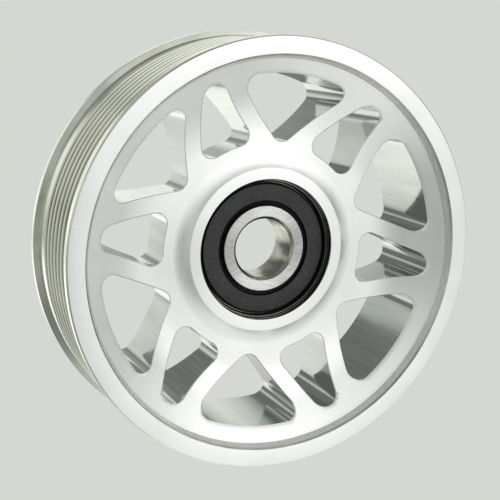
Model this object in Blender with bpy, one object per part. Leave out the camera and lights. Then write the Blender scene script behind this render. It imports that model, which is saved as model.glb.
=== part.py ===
"""Six-groove poly-V belt idler pulley, turned from one piece of aluminium, on a sealed ball bearing.

The pulley turns about the Y axis and its front faces -Y. The origin is the bearing's centre,
which is also the middle of the pulley's width. Lengths are in metres.
"""

import math

import bmesh
import bpy
from mathutils import Matrix, Vector

MM = 0.001
FIT_GAP = 0.3 * MM

# Pulley rim and belt surface.
HALF_WIDTH = 18.0 * MM
FLANGE_RADIUS = 60.15 * MM
FLANGE_LAND_END = -15.3 * MM
FLANGE_SHOULDER_END = -13.1 * MM
BELT_RADIUS = 59.5 * MM
GROOVE_COUNT = 6
GROOVE_PITCH = 3.56 * MM
GROOVE_START = -12.74 * MM
GROOVE_HALF_ANGLE = math.radians(20)
GROOVE_DEPTH = 3.1 * MM
TIP_WIDTH = 0.56 * MM
BACK_FLANGE_RADIUS = 61.0 * MM
BACK_FLANGE_START = 14.86 * MM
EDGE_CHAMFER = 0.38 * MM

# Inside of the rim, the same on both faces. Heights are distances from the middle plane.
RIM_EDGE_RADIUS = 55.2 * MM
RIM_EDGE_CHAMFER = 0.5 * MM
RIM_WALL_FOOT_RADIUS = 54.1 * MM
RIM_WALL_FOOT_HEIGHT = 15.6 * MM

# Web: flat beside the hub, then a round curve that runs into a straight cone.
WEB_HEIGHT = 6.55 * MM
WEB_CURVE_START = 33.0 * MM
WEB_CURVE_END = 45.0 * MM
WEB_CURVE_RADIUS = 22.5 * MM

# Hub boss and the seat of the bearing.
BOSS_HEIGHT = 8.25 * MM
BOSS_RADIUS = 23.3 * MM
BOSS_FILLET_END = 28.0 * MM
BOSS_FILLET_RADIUS = 7.35 * MM
SEAT_CHAMFER = 0.25 * MM
RETAINING_LIP_RADIUS = 18.4 * MM

# Windows through the web, measured from the pulley's axis.
WINDOW_COUNT = 6
LARGE_WINDOW_ANGLE = math.radians(20.8)
LARGE_SIDE_ANGLE = math.radians(45)
LARGE_SIDE_DISTANCE = 20.8 * MM
LARGE_OUTER_RADIUS = 49.9 * MM
LARGE_TIP_FILLET = 3.3 * MM
LARGE_CORNER_FILLET = 3.2 * MM
SMALL_WINDOW_ANGLE = math.radians(50.8)
SMALL_SIDE_ANGLE = math.radians(15)
SMALL_SIDE_DISTANCE = 15.8 * MM
SMALL_INNER_RADIUS = 30.45 * MM
SMALL_TIP_FILLET = 3.8 * MM
SMALL_CORNER_FILLET = 3.2 * MM

# Bearing 17 x 40 x 12 mm.
BEARING_BORE_RADIUS = 8.5 * MM
BEARING_OUTER_RADIUS = 20.0 * MM
BEARING_HALF_WIDTH = 6.0 * MM
BORE_CHAMFER = 0.8 * MM
RING_CHAMFER = 0.45 * MM
INNER_RING_RADIUS = 12.25 * MM
OUTER_RING_LAND_RADIUS = 16.25 * MM
SEAL_RECESS_RADIUS = 19.2 * MM
SEAL_RECESS_FLOOR = 4.15 * MM

BALL_COUNT = 8
BALL_RADIUS = 3.3735 * MM
PITCH_RADIUS = 14.25 * MM
RUNNING_CLEARANCE = 0.2 * MM

SEAL_FACE_HEIGHT = 5.7 * MM
SEAL_BACK_HEIGHT = 5.1 * MM
SEAL_INNER_RADIUS = 13.3 * MM
SEAL_LIP_RADIUS = 12.6 * MM
SEAL_LIP_HEIGHT = 4.7 * MM
SEAL_LIP_THICKNESS = 0.4 * MM
INSERT_THICKNESS = 0.35 * MM
INSERT_INNER_RADIUS = 13.9 * MM
INSERT_OUTER_RADIUS = 18.8 * MM

CAGE_INNER_RADIUS = 12.95 * MM
CAGE_OUTER_RADIUS = 15.55 * MM
CAGE_THICKNESS = 0.5 * MM
CAGE_PART_LINE = 0.15 * MM
POCKET_CLEARANCE = 0.25 * MM
RIVET_RADIUS = 0.45 * MM
RIVET_HEAD_RADIUS = 1.0 * MM
RIVET_HEAD_THICKNESS = 0.4 * MM

PULLEY_SEGMENTS = 48
RING_SEGMENTS = 36
RACEWAY_STEPS = 5
POCKET_STEPS = 6
HOLE_SEGMENTS = 8
SMALL_ARC_STEPS = 2
FILLET_STEPS = 3
WIDE_ARC_STEPS = 4
BALL_SEGMENTS = 12
BALL_RINGS = 8
SMOOTH_ANGLE = math.radians(30)
MERGE_DISTANCE = 0.001 * MM


def clear_scene():
    for item in list(bpy.data.objects):
        bpy.data.objects.remove(item, do_unlink=True)


def finish(name, colour, roughness, metallic):
    """Principled material of one sub-part."""
    material = bpy.data.materials.new(name)
    material.use_nodes = True
    shader = material.node_tree.nodes["Principled BSDF"]
    shader.inputs["Base Color"].default_value = (*colour, 1.0)
    shader.inputs["Roughness"].default_value = roughness
    shader.inputs["Metallic"].default_value = metallic
    return material


def add_object(name, mesh_data, material, location=(0.0, 0.0, 0.0)):
    """Closed bmesh to a named object, with its faces turned outward and round faces smooth."""
    bmesh.ops.recalc_face_normals(mesh_data, faces=mesh_data.faces[:])
    mesh = bpy.data.meshes.new(name)
    mesh_data.to_mesh(mesh)
    mesh_data.free()
    mesh.shade_smooth()
    mesh.set_sharp_from_angle(angle=SMOOTH_ANGLE)
    mesh.materials.append(material)
    item = bpy.data.objects.new(name, mesh)
    item.location = location
    bpy.context.collection.objects.link(item)
    return item


def arc(centre, radius, start, end, steps):
    """Points from one angle to another about a centre, both ends included."""
    points = []
    for step in range(steps + 1):
        angle = start + (end - start) * step / steps
        points.append((centre[0] + radius * math.cos(angle), centre[1] + radius * math.sin(angle)))
    return points


def mirrored(half):
    """Half an outline that starts and ends on the mirror line, with its other half added."""
    return half + [(u, -v) for u, v in half[-2:0:-1]]


def turned(outline, segments, closed=True):
    """Solid of revolution about Y from (radius, y) points; an open outline ends on the axis."""
    mesh_data = bmesh.new()
    points = [mesh_data.verts.new((radius, y, 0.0)) for radius, y in outline]
    edges = [mesh_data.edges.new(pair) for pair in zip(points, points[1:])]
    if closed:
        edges.append(mesh_data.edges.new((points[-1], points[0])))
    bmesh.ops.spin(
        mesh_data, geom=points + edges, cent=(0, 0, 0), axis=(0, 1, 0), angle=math.tau,
        steps=segments, use_merge=True,
    )
    bmesh.ops.remove_doubles(mesh_data, verts=mesh_data.verts[:], dist=MERGE_DISTANCE)
    return mesh_data


def add_prism(mesh_data, outline, angle, half_length):
    """Prism along Y from an outline in the XZ plane, turned by an angle from +X toward +Z."""
    turn = Matrix.Rotation(-angle, 3, "Y")
    corners = [turn @ Vector((u, -half_length, v)) for u, v in outline]
    face = mesh_data.faces.new([mesh_data.verts.new(corner) for corner in corners])
    side = bmesh.ops.extrude_face_region(mesh_data, geom=[face])
    moved = [item for item in side["geom"] if isinstance(item, bmesh.types.BMVert)]
    bmesh.ops.translate(mesh_data, verts=moved, vec=(0, 2 * half_length, 0))


def cut_with(item, name, cutter_mesh):
    """Boolean cut of an object by a hidden wire object."""
    cutter = add_object(name, cutter_mesh, item.data.materials[0])
    cutter.hide_render = True
    cutter.display_type = "WIRE"
    cut = item.modifiers.new(name, "BOOLEAN")
    cut.operation = "DIFFERENCE"
    cut.solver = "EXACT"
    cut.object = cutter


def large_window_outline():
    """Window with its tip toward the hub and an arc beside the rim, on the +u axis."""
    normal = Vector((math.sin(LARGE_SIDE_ANGLE), -math.cos(LARGE_SIDE_ANGLE)))
    along = Vector((math.cos(LARGE_SIDE_ANGLE), math.sin(LARGE_SIDE_ANGLE)))
    side_turn = math.pi / 2 + LARGE_SIDE_ANGLE
    tip = ((LARGE_SIDE_DISTANCE + LARGE_TIP_FILLET) / math.sin(LARGE_SIDE_ANGLE), 0.0)
    offset = LARGE_SIDE_DISTANCE + LARGE_CORNER_FILLET
    reach = math.sqrt((LARGE_OUTER_RADIUS - LARGE_CORNER_FILLET) ** 2 - offset ** 2)
    corner = normal * offset + along * reach
    corner_angle = math.atan2(corner.y, corner.x)
    half = arc(tip, LARGE_TIP_FILLET, math.pi, side_turn, SMALL_ARC_STEPS)
    half += arc(corner, LARGE_CORNER_FILLET, side_turn, corner_angle, WIDE_ARC_STEPS)
    half += arc((0, 0), LARGE_OUTER_RADIUS, corner_angle, 0.0, WIDE_ARC_STEPS)[1:]
    return mirrored(half)


def small_window_outline():
    """Window with its tip toward the rim and an arc beside the hub, on the +u axis."""
    normal = Vector((math.sin(SMALL_SIDE_ANGLE), math.cos(SMALL_SIDE_ANGLE)))
    along = Vector((math.cos(SMALL_SIDE_ANGLE), -math.sin(SMALL_SIDE_ANGLE)))
    side_turn = math.pi / 2 - SMALL_SIDE_ANGLE
    tip = ((SMALL_SIDE_DISTANCE - SMALL_TIP_FILLET) / math.sin(SMALL_SIDE_ANGLE), 0.0)
    offset = SMALL_SIDE_DISTANCE - SMALL_CORNER_FILLET
    reach = math.sqrt((SMALL_INNER_RADIUS + SMALL_CORNER_FILLET) ** 2 - offset ** 2)
    corner = normal * offset + along * reach
    corner_angle = math.atan2(corner.y, corner.x)
    half = arc(tip, SMALL_TIP_FILLET, 0.0, side_turn, FILLET_STEPS)
    half += arc(corner, SMALL_CORNER_FILLET, side_turn, corner_angle + math.pi, WIDE_ARC_STEPS)
    half += arc((0, 0), SMALL_INNER_RADIUS, corner_angle, 0.0, SMALL_ARC_STEPS)[1:]
    return mirrored(half)


def face_outline():
    """One face of the pulley from the hub boss out to the rim edge, as (radius, height) points."""
    fillet_centre = (BOSS_FILLET_END, WEB_HEIGHT + BOSS_FILLET_RADIUS)
    fillet_start = -math.pi / 2 - math.asin((BOSS_FILLET_END - BOSS_RADIUS) / BOSS_FILLET_RADIUS)
    curve_centre = (WEB_CURVE_START, WEB_HEIGHT + WEB_CURVE_RADIUS)
    curve_turn = math.asin((WEB_CURVE_END - WEB_CURVE_START) / WEB_CURVE_RADIUS)
    down = -math.pi / 2
    points = arc(fillet_centre, BOSS_FILLET_RADIUS, fillet_start, down, FILLET_STEPS)
    points += arc(curve_centre, WEB_CURVE_RADIUS, down, down + curve_turn, WIDE_ARC_STEPS)
    points.append((RIM_WALL_FOOT_RADIUS, RIM_WALL_FOOT_HEIGHT))
    points.append((RIM_EDGE_RADIUS - RIM_EDGE_CHAMFER, HALF_WIDTH - RIM_EDGE_CHAMFER))
    points.append((RIM_EDGE_RADIUS, HALF_WIDTH))
    return points


def belt_outline():
    """Outside of the rim from the front face to the back face, as (radius, y) points."""
    slope = GROOVE_DEPTH * math.tan(GROOVE_HALF_ANGLE)
    points = [
        (FLANGE_RADIUS - EDGE_CHAMFER, -HALF_WIDTH),
        (FLANGE_RADIUS, EDGE_CHAMFER - HALF_WIDTH),
        (FLANGE_RADIUS, FLANGE_LAND_END),
        (BELT_RADIUS, FLANGE_SHOULDER_END),
    ]
    for groove in range(GROOVE_COUNT):
        left = GROOVE_START + groove * GROOVE_PITCH + TIP_WIDTH / 2
        right = left + GROOVE_PITCH - TIP_WIDTH
        points += [
            (BELT_RADIUS, left),
            (BELT_RADIUS - GROOVE_DEPTH, left + slope),
            (BELT_RADIUS - GROOVE_DEPTH, right - slope),
            (BELT_RADIUS, right),
        ]
    points += [
        (BELT_RADIUS, BACK_FLANGE_START),
        (BACK_FLANGE_RADIUS, BACK_FLANGE_START),
        (BACK_FLANGE_RADIUS, HALF_WIDTH - EDGE_CHAMFER),
        (BACK_FLANGE_RADIUS - EDGE_CHAMFER, HALF_WIDTH),
    ]
    return points


def make_pulley_body():
    seat_radius = BEARING_OUTER_RADIUS + FIT_GAP / 2
    lip_start = BEARING_HALF_WIDTH + FIT_GAP
    face = face_outline()
    outline = [
        (RETAINING_LIP_RADIUS, BOSS_HEIGHT),
        (RETAINING_LIP_RADIUS, lip_start),
        (seat_radius, lip_start),
        (seat_radius, SEAT_CHAMFER - BOSS_HEIGHT),
        (seat_radius + SEAT_CHAMFER, -BOSS_HEIGHT),
    ]
    outline += [(radius, -height) for radius, height in face]
    outline += belt_outline()
    outline += reversed(face)
    aluminium = finish("pulley_body", (0.86, 0.87, 0.86), 0.32, 1.0)
    body = add_object("pulley_body", turned(outline, PULLEY_SEGMENTS), aluminium)
    windows = bmesh.new()
    for window in range(WINDOW_COUNT):
        turn = math.tau * window / WINDOW_COUNT
        add_prism(windows, large_window_outline(), LARGE_WINDOW_ANGLE + turn, HALF_WIDTH)
        add_prism(windows, small_window_outline(), SMALL_WINDOW_ANGLE + turn, HALF_WIDTH)
    cut_with(body, "window_cutter", windows)


def raceway(inward):
    """Groove that the balls run in, as (radius, y) points from the back to the front."""
    radius = BALL_RADIUS + RUNNING_CLEARANCE
    land = (INNER_RING_RADIUS if inward else OUTER_RING_LAND_RADIUS) - PITCH_RADIUS
    half_turn = math.acos(abs(land) / radius)
    middle = math.pi if inward else 0.0
    points = arc((PITCH_RADIUS, 0), radius, middle + half_turn, middle - half_turn, RACEWAY_STEPS)
    return sorted(points, key=lambda point: -point[1])


def make_rings():
    half = BEARING_HALF_WIDTH
    outside = BEARING_OUTER_RADIUS - FIT_GAP / 2
    outer = [
        (outside, RING_CHAMFER - half),
        (outside, half - RING_CHAMFER),
        (outside - RING_CHAMFER, half),
        (SEAL_RECESS_RADIUS, half),
        (SEAL_RECESS_RADIUS, SEAL_RECESS_FLOOR),
        (OUTER_RING_LAND_RADIUS, SEAL_RECESS_FLOOR),
    ]
    outer += raceway(inward=False)
    outer += [
        (OUTER_RING_LAND_RADIUS, -SEAL_RECESS_FLOOR),
        (SEAL_RECESS_RADIUS, -SEAL_RECESS_FLOOR),
        (SEAL_RECESS_RADIUS, -half),
        (outside - RING_CHAMFER, -half),
    ]
    inner = [
        (BEARING_BORE_RADIUS, BORE_CHAMFER - half),
        (BEARING_BORE_RADIUS, half - BORE_CHAMFER),
        (BEARING_BORE_RADIUS + BORE_CHAMFER, half),
        (INNER_RING_RADIUS, half),
    ]
    inner += raceway(inward=True)
    inner += [
        (INNER_RING_RADIUS, -half),
        (BEARING_BORE_RADIUS + BORE_CHAMFER, -half),
    ]
    hard_steel = finish("bearing_outer_ring", (0.46, 0.46, 0.45), 0.3, 1.0)
    ground_steel = finish("bearing_inner_ring", (0.68, 0.68, 0.66), 0.26, 1.0)
    add_object("bearing_outer_ring", turned(outer, RING_SEGMENTS), hard_steel)
    add_object("bearing_inner_ring", turned(inner, RING_SEGMENTS), ground_steel)


def make_seal(name, side):
    """Rubber shield and its steel stiffener; side is -1 at the front and 1 at the back."""
    outside = SEAL_RECESS_RADIUS - FIT_GAP
    lip_top = SEAL_LIP_HEIGHT + SEAL_LIP_THICKNESS
    rubber_outline = [
        (outside, SEAL_FACE_HEIGHT),
        (SEAL_INNER_RADIUS, SEAL_FACE_HEIGHT),
        (SEAL_LIP_RADIUS, lip_top),
        (SEAL_LIP_RADIUS, SEAL_LIP_HEIGHT),
        (SEAL_INNER_RADIUS, SEAL_LIP_HEIGHT),
        (SEAL_INNER_RADIUS + SEAL_LIP_THICKNESS, SEAL_BACK_HEIGHT),
        (outside, SEAL_BACK_HEIGHT),
    ]
    insert_top = SEAL_BACK_HEIGHT - FIT_GAP
    insert_outline = [
        (INSERT_OUTER_RADIUS, insert_top),
        (INSERT_INNER_RADIUS, insert_top),
        (INSERT_INNER_RADIUS, insert_top - INSERT_THICKNESS),
        (INSERT_OUTER_RADIUS, insert_top - INSERT_THICKNESS),
    ]
    rubber = finish(name, (0.025, 0.026, 0.027), 0.55, 0.0)
    steel = finish(name + "_insert", (0.45, 0.44, 0.42), 0.42, 1.0)
    rubber_points = [(radius, side * height) for radius, height in rubber_outline]
    insert_points = [(radius, side * height) for radius, height in insert_outline]
    add_object(name, turned(rubber_points, RING_SEGMENTS), rubber)
    add_object(name + "_insert", turned(insert_points, RING_SEGMENTS), steel)


def on_pitch_circle(index):
    """Place on the ball circle, counted in ball pitches from +X toward +Z."""
    angle = math.tau * index / BALL_COUNT
    return (PITCH_RADIUS * math.cos(angle), 0.0, PITCH_RADIUS * math.sin(angle))


def make_balls():
    for ball in range(BALL_COUNT):
        mesh_data = bmesh.new()
        bmesh.ops.create_uvsphere(
            mesh_data, u_segments=BALL_SEGMENTS, v_segments=BALL_RINGS, radius=BALL_RADIUS
        )
        name = f"ball_{ball + 1}"
        chrome_steel = finish(name, (0.62, 0.62, 0.62), 0.12, 1.0)
        add_object(name, mesh_data, chrome_steel, on_pitch_circle(ball))


def cage_strip():
    """Inner and outer edge of the wavy strip over one ball pitch, as (angle, height) pairs."""
    inside = BALL_RADIUS + POCKET_CLEARANCE
    outside = inside + CAGE_THICKNESS
    flat_top = CAGE_PART_LINE + CAGE_THICKNESS
    inside_turn = math.acos(CAGE_PART_LINE / inside)
    outside_turn = math.acos(flat_top / outside)
    strip = []
    for step in range(POCKET_STEPS + 1):
        share = 2 * step / POCKET_STEPS - 1
        under = (inside * math.sin(share * inside_turn), inside * math.cos(share * inside_turn))
        over = (outside * math.sin(share * outside_turn), outside * math.cos(share * outside_turn))
        strip.append((under[0] / PITCH_RADIUS, under[1], over[0] / PITCH_RADIUS, over[1]))
    return strip


def make_cage_half(name, side):
    """Pressed strip with a half pocket over each ball; side is -1 at the front, 1 at the back."""
    mesh_data = bmesh.new()
    sections = []
    for ball in range(BALL_COUNT):
        middle = math.tau * ball / BALL_COUNT
        for under_angle, under, over_angle, over in cage_strip():
            section = []
            for radius, angle, height in (
                (CAGE_INNER_RADIUS, under_angle, under),
                (CAGE_OUTER_RADIUS, under_angle, under),
                (CAGE_OUTER_RADIUS, over_angle, over),
                (CAGE_INNER_RADIUS, over_angle, over),
            ):
                turn = middle + angle
                place = (radius * math.cos(turn), side * height, radius * math.sin(turn))
                section.append(mesh_data.verts.new(place))
            sections.append(section)
    for section, following in zip(sections, sections[1:] + sections[:1]):
        for corner in range(4):
            after = (corner + 1) % 4
            mesh_data.faces.new(
                (section[corner], section[after], following[after], following[corner])
            )
    steel = finish(name, (0.5, 0.49, 0.47), 0.38, 1.0)
    half = add_object(name, mesh_data, steel)
    holes = bmesh.new()
    hole = arc((PITCH_RADIUS, 0), RIVET_RADIUS + FIT_GAP, 0.0, math.tau, HOLE_SEGMENTS)[:-1]
    for rivet in range(BALL_COUNT):
        add_prism(holes, hole, math.tau * (rivet + 0.5) / BALL_COUNT, BEARING_HALF_WIDTH)
    cut_with(half, name + "_hole_cutter", holes)


def make_rivets():
    """Rivets through both cage halves, one between each pair of balls."""
    under_head = CAGE_PART_LINE + CAGE_THICKNESS + FIT_GAP
    top = under_head + RIVET_HEAD_THICKNESS
    outline = [
        (0.0, top),
        (RIVET_HEAD_RADIUS, top),
        (RIVET_HEAD_RADIUS, under_head),
        (RIVET_RADIUS, under_head),
        (RIVET_RADIUS, -under_head),
        (RIVET_HEAD_RADIUS, -under_head),
        (RIVET_HEAD_RADIUS, -top),
        (0.0, -top),
    ]
    for rivet in range(BALL_COUNT):
        name = f"cage_rivet_{rivet + 1}"
        steel = finish(name, (0.55, 0.54, 0.52), 0.35, 1.0)
        mesh_data = turned(outline, HOLE_SEGMENTS, closed=False)
        add_object(name, mesh_data, steel, on_pitch_circle(rivet + 0.5))


def main():
    clear_scene()
    make_pulley_body()
    make_rings()
    make_balls()
    make_cage_half("cage_front", -1)
    make_cage_half("cage_rear", 1)
    make_rivets()
    make_seal("front_seal", -1)
    make_seal("rear_seal", 1)


main()
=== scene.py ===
"""Looks of the ribbed belt idler pulley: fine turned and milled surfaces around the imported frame.

Lengths are in metres. The pulley turns about Y, its front faces -Y and +Z is up.
"""

import math

import bmesh
import bpy
from mathutils import Matrix, Vector


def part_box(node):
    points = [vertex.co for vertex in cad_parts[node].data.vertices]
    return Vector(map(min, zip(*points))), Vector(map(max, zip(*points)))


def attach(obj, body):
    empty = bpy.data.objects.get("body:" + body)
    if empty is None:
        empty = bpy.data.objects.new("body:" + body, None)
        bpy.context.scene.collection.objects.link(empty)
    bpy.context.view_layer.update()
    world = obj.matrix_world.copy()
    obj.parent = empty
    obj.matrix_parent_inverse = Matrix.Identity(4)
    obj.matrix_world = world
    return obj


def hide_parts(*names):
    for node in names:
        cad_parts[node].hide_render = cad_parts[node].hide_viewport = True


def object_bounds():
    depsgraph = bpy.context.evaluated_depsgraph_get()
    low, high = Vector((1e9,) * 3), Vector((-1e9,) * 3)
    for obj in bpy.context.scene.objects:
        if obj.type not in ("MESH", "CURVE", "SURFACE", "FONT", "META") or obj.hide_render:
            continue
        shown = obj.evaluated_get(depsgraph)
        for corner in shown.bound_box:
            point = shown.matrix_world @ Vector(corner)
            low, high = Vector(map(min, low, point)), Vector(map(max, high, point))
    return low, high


MM = 0.001

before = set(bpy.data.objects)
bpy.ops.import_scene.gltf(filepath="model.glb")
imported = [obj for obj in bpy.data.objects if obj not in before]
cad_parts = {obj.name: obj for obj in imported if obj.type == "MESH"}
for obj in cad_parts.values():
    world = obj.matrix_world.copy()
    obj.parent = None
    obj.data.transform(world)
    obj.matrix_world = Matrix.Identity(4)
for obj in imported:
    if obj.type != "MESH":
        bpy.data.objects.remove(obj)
CAD_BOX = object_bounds()
BODY_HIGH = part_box("pulley_body")[1]
RING_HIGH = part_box("bearing_inner_ring")[1]

# Pulley rim and belt surface. Places along Y run from the front flange to the back flange.
HALF_WIDTH = BODY_HIGH.y
BACK_FLANGE_RADIUS = BODY_HIGH.x
FLANGE_RADIUS = 60.15 * MM
BELT_RADIUS = 59.5 * MM
FLANGE_LAND_END = -15.3 * MM
FLANGE_LAND_ROUND = 0.6 * MM
FLANGE_SHOULDER_END = -13.25 * MM
FLANGE_SHOULDER_ROUND = 0.3 * MM
GROOVE_COUNT = 6
GROOVE_PITCH = 3.56 * MM
FIRST_TIP = -12.74 * MM
GROOVE_HALF_ANGLE = math.radians(20)
GROOVE_DEPTH = 3.1 * MM
TIP_WIDTH = 0.56 * MM
TIP_ROUND = 0.15 * MM
ROOT_ROUND = 0.3 * MM
BACK_FLANGE_START = 14.86 * MM
BACK_FLANGE_FOOT_ROUND = 0.04 * MM
FLANGE_LEAN = (BACK_FLANGE_RADIUS - BELT_RADIUS) * math.tan(GROOVE_HALF_ANGLE)
EDGE_CHAMFER = 0.38 * MM
EDGE_ROUND = 0.12 * MM

# Inside of the rim. Heights are distances from the middle plane, the same on both faces.
RIM_EDGE_RADIUS = 55.2 * MM
RIM_EDGE_CHAMFER = 0.5 * MM
RIM_WALL_FOOT_RADIUS = 54.1 * MM
RIM_WALL_FOOT_HEIGHT = 15.6 * MM
RIM_WALL_FOOT_ROUND = 0.5 * MM

# Web and hub boss: a fillet at the boss, a flat, a curve, and a cone out to the rim wall.
WEB_HEIGHT = 6.55 * MM
WEB_CURVE_START = 33.0 * MM
WEB_CURVE_END = 45.0 * MM
WEB_CURVE_RADIUS = 22.5 * MM
WEB_CONE_STEPS = 9
BOSS_HEIGHT = 8.25 * MM
BOSS_RADIUS = 23.3 * MM
BOSS_EDGE_ROUND = 0.25 * MM
BOSS_FILLET_END = 28.0 * MM
BOSS_FILLET_RADIUS = 7.35 * MM

# Windows. Their sides are straight lines at a distance from the axis and an angle to the
# window's own radius.
WINDOW_COUNT = 6
LARGE_WINDOW_ANGLE = math.radians(20.8)
LARGE_SIDE_ANGLE = math.radians(45)
LARGE_SIDE_DISTANCE = 20.8 * MM
LARGE_OUTER_RADIUS = 49.9 * MM
LARGE_TIP_FILLET = 3.3 * MM
LARGE_CORNER_FILLET = 3.2 * MM
SMALL_WINDOW_ANGLE = math.radians(50.8)
SMALL_SIDE_ANGLE = math.radians(15)
SMALL_SIDE_DISTANCE = 15.8 * MM
SMALL_INNER_RADIUS = 30.45 * MM
SMALL_TIP_FILLET = 3.8 * MM
SMALL_CORNER_FILLET = 3.2 * MM
WINDOW_EDGE_BREAK = 0.2 * MM
WINDOW_CUTTER_FLARE = 0.6 * MM
WINDOW_POINT_SPACING = 1.0 * MM

# Bearing seat in the hub, and the lip that the bearing is pressed against.
FIT = 0.03 * MM
SEAT_RADIUS = 20.0 * MM + FIT
SEAT_CHAMFER = 0.2 * MM
SEAT_CORNER_ROUND = 0.2 * MM
LIP_RADIUS = 18.4 * MM
LIP_OUTSIDE_ROUND = 0.2 * MM
LIP_INSIDE_ROUND = 0.1 * MM
LIP_CLEARANCE = 0.05 * MM

# Bearing rings.
RING_HALF_WIDTH = RING_HIGH.y
BORE_RADIUS = 8.5 * MM
BORE_CHAMFER = 0.8 * MM
BORE_ROUND = 0.1 * MM
INNER_RING_RADIUS = RING_HIGH.x
INNER_RING_ROUND = 0.3 * MM
OUTER_RING_RADIUS = 20.0 * MM - FIT
OUTER_RING_CHAMFER = 0.15 * MM
OUTER_LAND_RADIUS = 16.25 * MM
OUTER_LAND_ROUND = 0.1 * MM
SEAL_RECESS_RADIUS = 19.2 * MM
SEAL_RECESS_ROUND = 0.05 * MM
SEAL_RECESS_MOUTH = 19.6 * MM
SEAL_RECESS_MOUTH_DEPTH = 0.5 * MM
SEAL_RECESS_MOUTH_ROUND = 0.03 * MM
SEAL_RECESS_FLOOR = 4.15 * MM

# Balls, cage and rivets.
BALL_COUNT = 8
BALL_STEP = math.tau / BALL_COUNT
BALL_RADIUS = 3.3735 * MM
PITCH_RADIUS = 14.25 * MM
RACE_RADIUS = 3.5 * MM
CAGE_INNER_RADIUS = 12.95 * MM
CAGE_OUTER_RADIUS = 15.55 * MM
CAGE_PART_LINE = 0.15 * MM
CAGE_THICKNESS = 0.5 * MM
CAGE_TOP = CAGE_PART_LINE + CAGE_THICKNESS
CAGE_PRESS_ROUND = 0.12 * MM
POCKET_RADIUS = BALL_RADIUS + 0.25 * MM
RIVET_RADIUS = 0.45 * MM
RIVET_HOLE_RADIUS = 0.6 * MM
RIVET_HEAD_RADIUS = 1.0 * MM
RIVET_HEAD_THICKNESS = 0.4 * MM
RIVET_DOME_SHARE = 0.6
RIVET_HEAD_EDGE_ROUND = 0.1 * MM
RIVET_HEAD_UNDER_ROUND = 0.05 * MM
RIVET_SHANK_ROUND = 0.04 * MM
RIVET_GAP = 0.3 * MM

# Seal and the steel insert inside it, as (radius, height, round) corners in millimetres.
SEAL_CORNERS = (
    (18.95, 4.5, 0.05), (18.95, 4.8, 0.05), (18.5, 4.85, 0.1), (18.4, 5.62, 0.15),
    (16.0, 5.72, 0.0), (13.75, 5.66, 0.15), (13.55, 4.6, 0.12), (12.35, 4.45, 0.08),
    (12.25, 4.2, 0.08), (13.3, 4.25, 0.1), (13.85, 4.95, 0.1), (18.35, 4.95, 0.05),
    (18.35, 4.5, 0.05),
)
INSERT_CORNERS = (
    (13.9, 4.45, 0.08), (15.6, 4.45, 0.2), (16.0, 4.52, 0.2), (18.2, 4.52, 0.08),
    (18.2, 4.8, 0.08), (15.9, 4.8, 0.2), (15.5, 4.73, 0.2), (13.9, 4.73, 0.08),
)

# Where one finish ends and the next begins.
SEAT_FINISH_RADIUS = SEAT_RADIUS + 0.5 * SEAT_CHAMFER
RIM_WALL_FINISH_RADIUS = RIM_WALL_FOOT_RADIUS - 0.2 * MM
RIM_WALL_FOOT_FINISH_HEIGHT = RIM_WALL_FOOT_HEIGHT + 0.4 * MM
RIM_WALL_EDGE_FINISH_HEIGHT = HALF_WIDTH - RIM_EDGE_CHAMFER
FACE_FINISH_HEIGHT = HALF_WIDTH - 0.01 * MM
OUTSIDE_FINISH_RADIUS = RIM_EDGE_RADIUS + 0.5 * MM
OUTSIDE_EDGE_FINISH_HEIGHT = HALF_WIDTH - 1.1 * EDGE_CHAMFER
FLANGE_WALL_FINISH_END = BACK_FLANGE_START + 0.9 * FLANGE_LEAN
# The belt's painted groove shade is full at the first radius and gone at the second.
GROOVE_SHADE_RADIUS = BELT_RADIUS - 0.55 * MM
BRIGHT_TIP_RADIUS = BELT_RADIUS - 0.12 * MM
BORE_FINISH_RADIUS = BORE_RADIUS + 0.95 * BORE_CHAMFER
GROUND_FACE_FINISH_HEIGHT = RING_HALF_WIDTH - 0.5 * INNER_RING_ROUND
SEAL_FACE_FINISH_HEIGHT = 5.45 * MM

# Fineness of the meshes.
ROUND_SEGMENTS = 288
RING_SEGMENTS = 144
CAGE_SEGMENTS = 192
CAGE_RADIAL_STEPS = 6
BALL_SEGMENTS = 48
SMALL_SEGMENTS = 24
FLOOR_SEGMENTS = 64
ARC_STEP = math.radians(9)
ROUND_STEP = math.radians(18)
FILLET_STEP = math.radians(4)
CURVE_STEP = math.radians(2)
SMOOTH_ANGLE = math.radians(28)
MERGE_DISTANCE = 0.0005 * MM

# Surface patterns. Most of a noise lies between the two levels.
NOISE_LOW = 0.35
NOISE_HIGH = 0.65
ACROSS_THE_MARKS = 0.25
SCRATCH_ANGLES = (math.radians(28), math.radians(-17))

# Camera: the optical axis meets the target, and the shift sets where that is in the frame.
# Directions in the studio are (azimuth, elevation) in degrees; azimuth 0 is -Y and 90 is +X.
CAMERA_DIRECTION = (-24.28, 10.05)
CAMERA_DISTANCE = 0.32024
CAMERA_TARGET = Vector((0.00093, -0.00675, 0.00993))
CAMERA_LENS = 81.83
CAMERA_SHIFT = (-0.0368, -0.0715)
CAMERA_CLIP = (0.01, 20.0)

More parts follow.
